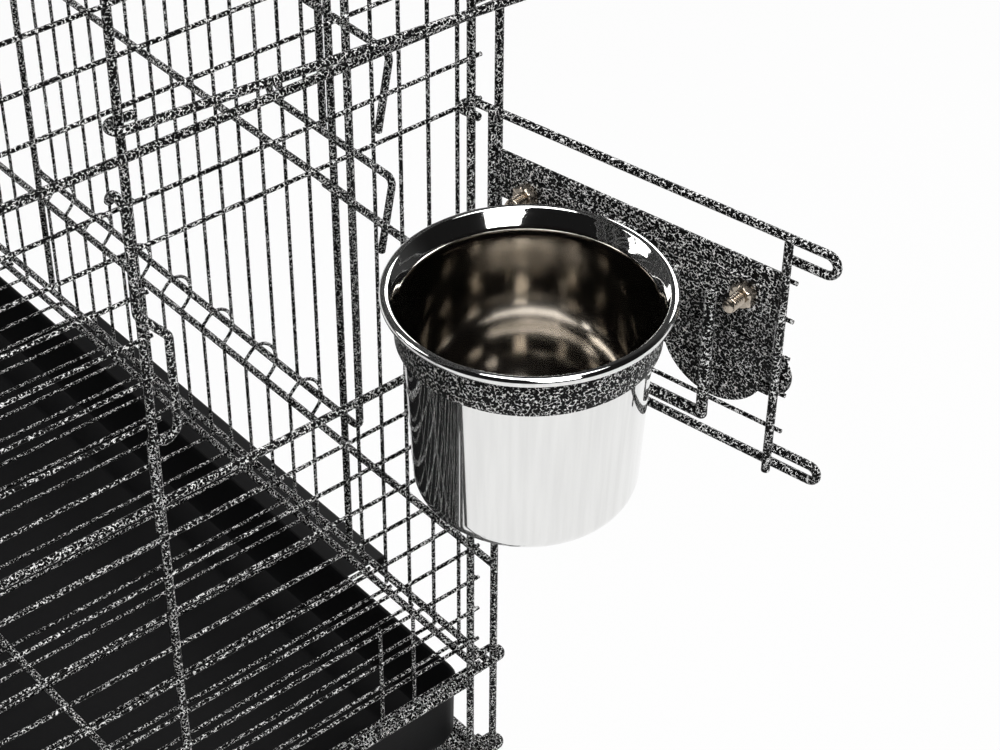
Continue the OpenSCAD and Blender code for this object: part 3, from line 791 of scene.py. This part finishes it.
class CAGE_OT_main_door(bpy.types.Operator):
    """Main door frame with rounded corners, and its latch"""
    bl_idname = "cage.main_door"
    bl_label = "Main door"

    def execute(self, context):
        r = context.scene.cage_pieces.rod / 2
        coat = finish_of("hammertone")
        y, u0, u1, z0, z1 = -4.1, 112.0, 428.0, 75.0, 515.0
        loop = rounded_path([(200, y, z0), (u0, y, z0), (u0, y, z1),
                             (u1, y, z1), (u1, y, z0), (199, y, z0)], 6)
        parts = [sweep([at_front(p) for p in loop], r)]
        for z in (218, 365):
            parts.append(sweep([at_front((u0, y, z)), at_front((u1, y, z))], r * 0.99))
        verts, faces = join_parts(parts)
        obj = new_piece("main_door_frame_bent", verts, faces, coat)
        finish_piece(obj, "main_door", "hammertone", "main_door_frame")
        y = -10.1
        parts = []
        for z in (240, 308):
            tail = rounded_path([(180, y, z), (87, y, z), (91, y + 5, z - 42)], 4)
            eye = [tuple(p) for p in arc_points((180, y, z + 5), (1, 0, 0), (0, 0, 1), 5, 208, -90, 18)]
            parts.append(sweep([at_front(p) for p in eye + tail[1:]], r))
        parts.append(sweep([at_front((146, y - 3.55, 237)), at_front((146, y - 3.55, 342))], r))
        verts, faces = join_parts(parts)
        obj = new_piece("main_door_latch_bent", verts, faces, coat)
        finish_piece(obj, "main_door_latch", "hammertone", "main_door_latch")
        return {"FINISHED"}


class CAGE_OT_hairpins(bpy.types.Operator):
    """The row of bent wires that keep the main door's bottom rod"""
    bl_idname = "cage.hairpins"
    bl_label = "Hairpins"

    def execute(self, context):
        r = context.scene.cage_pieces.wire / 2
        coat = finish_of("hammertone")
        yw, arch_z, crown_z, crown_y = 6.15, 72.0, 83.0, -4.4
        lean = Vector((0, crown_y - yw, crown_z - arch_z))
        length, lean = lean.length, lean.normalized()
        start = Vector((140, yw, arch_z))
        path = [Vector((140, yw, -5.4)), start, start + lean * (length - 10)]
        centre = start + Vector((10, 0, 0)) + lean * (length - 10)
        crown = arc_points(centre, (-1, 0, 0), lean, 10, 0, 180, 14)
        path += crown[1:] + [start + Vector((20, 0, 0)), Vector((160, yw, -5.4))]
        path = rounded_path(path[:3], 3)[:-1] + path[2:-2] + rounded_path(path[-3:], 3)[1:]
        verts, faces = sweep([at_front(p) for p in path], r, 10)
        shape = new_piece("hairpin_shape", verts, faces, coat)
        base = new_piece("hairpin_base", [(0, 0, 0)], [], coat, smooth=False)
        tree = row_tree(shape, coat)
        obj = run_tree(tree, "front_hairpins_row", base, Count=7, Spacing=(2 * STEP * MM, 0, 0))
        bpy.data.objects.remove(shape)
        finish_piece(obj, "cage", "hammertone", "front_hairpins")
        return {"FINISHED"}


class CAGE_OT_welds(bpy.types.Operator):
    """Small weld nuggets where wires cross rods"""
    bl_idname = "cage.welds"
    bl_label = "Welds"

    def execute(self, context):
        size = context.scene.cage_pieces.bead
        coat = finish_of("hammertone")
        bm = bmesh.new()
        bmesh.ops.create_icosphere(bm, subdivisions=1, radius=size)
        mesh = bpy.data.meshes.new("nugget")
        bm.to_mesh(mesh)
        bm.free()
        nugget = bpy.data.objects.new("nugget", mesh)
        context.scene.collection.objects.link(nugget)
        mesh.shade_smooth()
        tree = beads_tree(nugget, coat)
        uprights = (15.6, 183.0, 277.0, 444.4)
        for side in SIDES:
            pts = []
            for row in range(1, 36):
                if row in (10, 18, 27):
                    continue
                for v in uprights[(1 if 10 < row < 16 else 0):]:
                    pts.append(at_side(side, (-1.9, v + 1.1, row * ROW)))
                    pts.append(at_side(side, (-1.9, v - 1.1, row * ROW)))
            for row in (0, 10, 18, 27, 36):
                for v in uprights:
                    pts.append(at_side(side, (-2.2, v + 1.6, row * ROW)))
                    pts.append(at_side(side, (-2.2, v - 1.6, row * ROW)))
            base = new_piece(f"{side}_weld_points", pts, [], coat, smooth=False)
            obj = run_tree(tree, f"{side}_welds", base, Seed=11 if side == "left" else 23)
            finish_piece(obj, "cage", "hammertone")
        pts = []
        for i in range(1, 27):
            for z in (-3.55, 66.0, 507.0, 752.45):
                if i in (6, 21) or (6 < i < 21 and z < 500):
                    continue
                pts += [at_front((i * STEP + d, 4.9, z)) for d in (-0.9, 0.9)]
        base = new_piece("front_weld_points", pts, [], coat, smooth=False)
        finish_piece(run_tree(tree, "front_welds", base, Seed=5), "cage", "hammertone")
        pts = []
        for i in range(30):
            x = 6 + i * (528 / 29)
            pts += [at_front((x + d, y, -9.2)) for y in (6, 182, 278, 454) for d in (-0.9, 0.9)]
        base = new_piece("grate_weld_points", pts, [], coat, smooth=False)
        finish_piece(run_tree(tree, "grate_welds", base, Seed=3), "grate", "hammertone")
        bpy.data.objects.remove(nugget)
        return {"FINISHED"}


def rounded_rect(l, d, r, steps=5):
    out = []
    for cx, cy, a0 in ((l - r, d - r, 0), (r, d - r, 90), (r, r, 180), (l - r, r, 270)):
        for k in range(steps + 1):
            th = math.radians(a0 + 90 * k / steps)
            out.append((cx + r * math.cos(th), cy + r * math.sin(th)))
    return out


def lofted(levels, place):
    """Rounded rectangles joined in order, each an (inset, corner radius, height); both ends closed."""
    verts, faces = [], []
    for inset, r, z in levels:
        for x, y in rounded_rect(516 - 2 * inset, 444 - 2 * inset, r):
            verts.append(place((12 + inset + x, 8 + inset + y, z)))
    n = 24
    for i in range(len(levels) - 1):
        for k in range(n):
            m = (k + 1) % n
            faces.append((i * n + k, i * n + m, (i + 1) * n + m, (i + 1) * n + k))
    faces.append(tuple(range(n))[::-1])
    faces.append(tuple((len(levels) - 1) * n + k for k in range(n)))
    return verts, faces


class CAGE_OT_tray(bpy.types.Operator):
    """Pressed tray with a rolled lip, a sunk channel and a pull"""
    bl_idname = "cage.tray"
    bl_label = "Tray"

    def execute(self, context):
        coat = finish_of("tray_black")
        top, low = -22.0, -68.25
        levels = [(14, 10, low), (8, 12, low + 0.3), (3, 12, low + 2.5), (1.2, 12, low + 8),
                  (0.9, 12, top - 6), (0.2, 12, top - 4), (0, 12, top - 2), (0.3, 12, top - 0.6),
                  (1.2, 11, top), (2.2, 10, top - 0.4), (2.8, 9.5, top - 2), (3.2, 9, top - 6),
                  (4.6, 9, low + 9), (7, 9, low + 3.5), (11, 8, low + 1.4), (24, 8, low + 1.2), (26, 8, low + 2.4),
                  (30, 8, low + 2.6), (32, 8, low + 1.5), (60, 8, low + 1.3)]
        parts = [lofted(levels, at_front)]
        u0, u1 = 112.0, 404.0
        profile = [(9.4, -22.1), (-15.5, -22.1), (-17.2, -22.8), (-17.9, -24.5), (-17.9, -33.5),
                   (-16.9, -33.9), (-16.9, -24.8), (-16.3, -23.6), (-15.2, -23.1), (9.4, -23.1)]
        verts, faces = [], []
        for u in (u0, u1):
            verts += [at_front((u, y, z)) for y, z in profile]
        n = len(profile)
        faces += [(k, (k + 1) % n, n + (k + 1) % n, n + k) for k in range(n)]
        faces += [tuple(range(n))[::-1], tuple(range(n, 2 * n))]
        parts.append((verts, faces))
        verts, faces = join_parts(parts)
        obj = new_piece("tray_pressed", verts, faces, coat)
        finish_piece(obj, "tray", "tray_black", "tray")
        return {"FINISHED"}


class CAGE_OT_casters(bpy.types.Operator):
    """Forks with rounded edges and turned wheels with a tread and a hub"""
    bl_idname = "cage.casters"
    bl_label = "Casters"

    def execute(self, context):
        rubber = finish_of("wheel_rubber")
        hub = finish_of("caster_metal")
        for fb in ("front", "back"):
            for lr in SIDES:
                tag = f"{fb}_{lr}"
                obj = rounded_copy(f"caster_{tag}", f"caster_{tag}_pressed", hub, 0.0004)
                finish_piece(obj, f"caster_{tag}", "caster_metal", f"caster_{tag}")
                lo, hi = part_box(f"wheel_{tag}")
                c = (lo + hi) / 2
                place = lambda p, c=c: c + Vector((p[0], p[2], p[1])) * MM
                profile = [(3.2, -8), (8, -8), (9, -6.6), (16, -6.2), (18.5, -8), (22, -8), (24.2, -7),
                           (24.9, -5), (24.9, -1.6), (24.4, -1.2), (24.4, 1.2), (24.9, 1.6), (24.9, 5),
                           (24.2, 7), (22, 8), (18.5, 8), (16, 6.2), (9, 6.6), (8, 8), (3.2, 8)]
                verts, faces = lathe(profile, place, 72, closed=True)
                obj = new_piece(f"wheel_{tag}_turned", verts, faces, rubber)
                finish_piece(obj, f"wheel_{tag}", "wheel_rubber", f"wheel_{tag}")
        return {"FINISHED"}


class CAGE_OT_stand(bpy.types.Operator):
    """Stand tubes and shelf with rounded edges"""
    bl_idname = "cage.stand"
    bl_label = "Stand"

    def execute(self, context):
        coat = finish_of("hammertone")
        for node in ("stand_legs", "stand_top_rails", "stand_shelf"):
            obj = rounded_copy(node, node + "_rounded", coat, 0.0006)
            finish_piece(obj, "cage", "hammertone", node)
        return {"FINISHED"}


class CAGE_OT_stage(bpy.types.Operator):
    """Floor, soft lights and camera"""
    bl_idname = "cage.stage"
    bl_label = "Stage"

    def execute(self, context):
        scene = context.scene
        scene.view_settings.view_transform = "Standard"
        world = bpy.data.worlds.new("Studio")
        scene.world = world
        world.use_nodes = True
        n, link = world.node_tree.nodes, world.node_tree.links.new
        background = n["Background"]
        coord, toward = n.new("ShaderNodeTexCoord"), n.new("ShaderNodeVectorMath")
        fade = n.new("ShaderNodeMapRange")
        toward.operation = "DOT_PRODUCT"
        toward.inputs[1].default_value = (0.70, -0.61, -0.37)
        fade.interpolation_type = "SMOOTHSTEP"
        fade.inputs["From Min"].default_value = -0.15
        fade.inputs["From Max"].default_value = 0.45
        fade.inputs["To Min"].default_value = 0.2
        fade.inputs["To Max"].default_value = 1.0
        link(coord.outputs["Generated"], toward.inputs[0])
        link(toward.outputs["Value"], fade.inputs["Value"])
        link(fade.outputs["Result"], background.inputs["Strength"])
        white = n.new("ShaderNodeBackground")
        white.inputs["Color"].default_value = (1, 1, 1, 1)
        path, mix = n.new("ShaderNodeLightPath"), n.new("ShaderNodeMixShader")
        link(path.outputs["Is Camera Ray"], mix.inputs[0])
        link(background.outputs[0], mix.inputs[1])
        link(white.outputs[0], mix.inputs[2])
        link(mix.outputs[0], n["World Output"].inputs["Surface"])
        mat, tree = new_material("Pale floor")
        n, link = tree.nodes, tree.links.new
        bsdf = n["Principled BSDF"]
        bsdf.inputs["Base Color"].default_value = (0.82, 0.82, 0.82, 1)
        bsdf.inputs["Roughness"].default_value = 0.9
        glow = n.new("ShaderNodeEmission")
        path = n.new("ShaderNodeLightPath")
        seen = n.new("ShaderNodeMath")
        seen.operation = "MAXIMUM"
        part = n.new("ShaderNodeMath")
        part.operation = "MULTIPLY"
        part.inputs[1].default_value = 0.93
        mix = n.new("ShaderNodeMixShader")
        link(path.outputs["Is Camera Ray"], seen.inputs[0])
        link(path.outputs["Is Glossy Ray"], seen.inputs[1])
        link(seen.outputs[0], part.inputs[0])
        link(part.outputs[0], mix.inputs[0])
        link(bsdf.outputs[0], mix.inputs[1])
        link(glow.outputs[0], mix.inputs[2])
        link(mix.outputs[0], n["Material Output"].inputs["Surface"])
        size = 30.0
        corners = [(-size, -size, 0), (size, -size, 0), (size, size, 0), (-size, size, 0)]
        floor = new_piece("floor", corners, [(0, 1, 2, 3)], mat, False)
        aim = Vector((-0.3, -0.25, 0.9))
        lamps = (("key", (-2.2, 0.4, 2.8), 1.2, 1.8, 62), ("fill", (0.6, -2.4, 2.0), 1.6, 1.2, 34),
                 ("rim", (1.8, 1.6, 2.6), 1.0, 1.6, 30), ("top", (-0.4, -0.3, 3.2), 1.4, 1.4, 32))
        for name, where, w, h, power in lamps:
            data = bpy.data.lights.new(name, "AREA")
            data.shape, data.size, data.size_y, data.energy = "RECTANGLE", w, h, power
            lamp = bpy.data.objects.new(name, data)
            scene.collection.objects.link(lamp)
            lamp.location = where
            lamp.rotation_euler = (aim - Vector(where)).to_track_quat("-Z", "Y").to_euler()
        az, el, roll = math.radians(228.97), math.radians(38.43), math.radians(0.663)
        look = Vector((-math.sin(az) * math.cos(el), math.cos(az) * math.cos(el), -math.sin(el)))
        right = Vector((math.cos(az), math.sin(az), 0))
        up = right.cross(look)
        r2, u2 = right * math.cos(roll) + up * math.sin(roll), up * math.cos(roll) - right * math.sin(roll)
        data = bpy.data.cameras.new("camera")
        data.sensor_width = 36
        data.lens = 82.81
        data.clip_start = 0.02
        camera = bpy.data.objects.new("camera", data)
        scene.collection.objects.link(camera)
        basis = Matrix((r2, u2, -look)).transposed().to_4x4()
        camera.matrix_world = Matrix.Translation(at_front((-627.9, 544.0, 839.8))) @ basis
        scene.camera = camera
        return {"FINISHED"}


class CAGE_PT_panel(bpy.types.Panel):
    """Sizes, finishes and pieces of the bird cage"""
    bl_label = "Bird Cage"
    bl_idname = "CAGE_PT_panel"
    bl_space_type = "VIEW_3D"
    bl_region_type = "UI"
    bl_category = "Bird Cage"

    def draw(self, context):
        layout = self.layout
        for group in (context.scene.cage_finish, context.scene.cage_pieces):
            for key in group.bl_rna.properties.keys():
                if key not in ("rna_type", "name"):
                    layout.prop(group, key)
        for op in OPERATORS:
            layout.operator(op.bl_idname)


OPERATORS = (CAGE_OT_stage, CAGE_OT_finishes, CAGE_OT_bowls, CAGE_OT_bolts, CAGE_OT_plates,
             CAGE_OT_feeder_frames, CAGE_OT_catches, CAGE_OT_main_door, CAGE_OT_hairpins,
             CAGE_OT_welds, CAGE_OT_tray, CAGE_OT_casters, CAGE_OT_stand)
CLASSES = (CageFinishProps, CagePieceProps) + OPERATORS + (CAGE_PT_panel,)


def register():
    for cls in CLASSES:
        bpy.utils.register_class(cls)
    bpy.types.Scene.cage_finish = bpy.props.PointerProperty(type=CageFinishProps)
    bpy.types.Scene.cage_pieces = bpy.props.PointerProperty(type=CagePieceProps)


def unregister():
    del bpy.types.Scene.cage_pieces
    del bpy.types.Scene.cage_finish
    for cls in reversed(CLASSES):
        bpy.utils.unregister_class(cls)


def main():
    register()
    for op in OPERATORS:
        getattr(bpy.ops.cage, op.bl_idname.split(".")[1])()


if __name__ == "__main__":
    main()
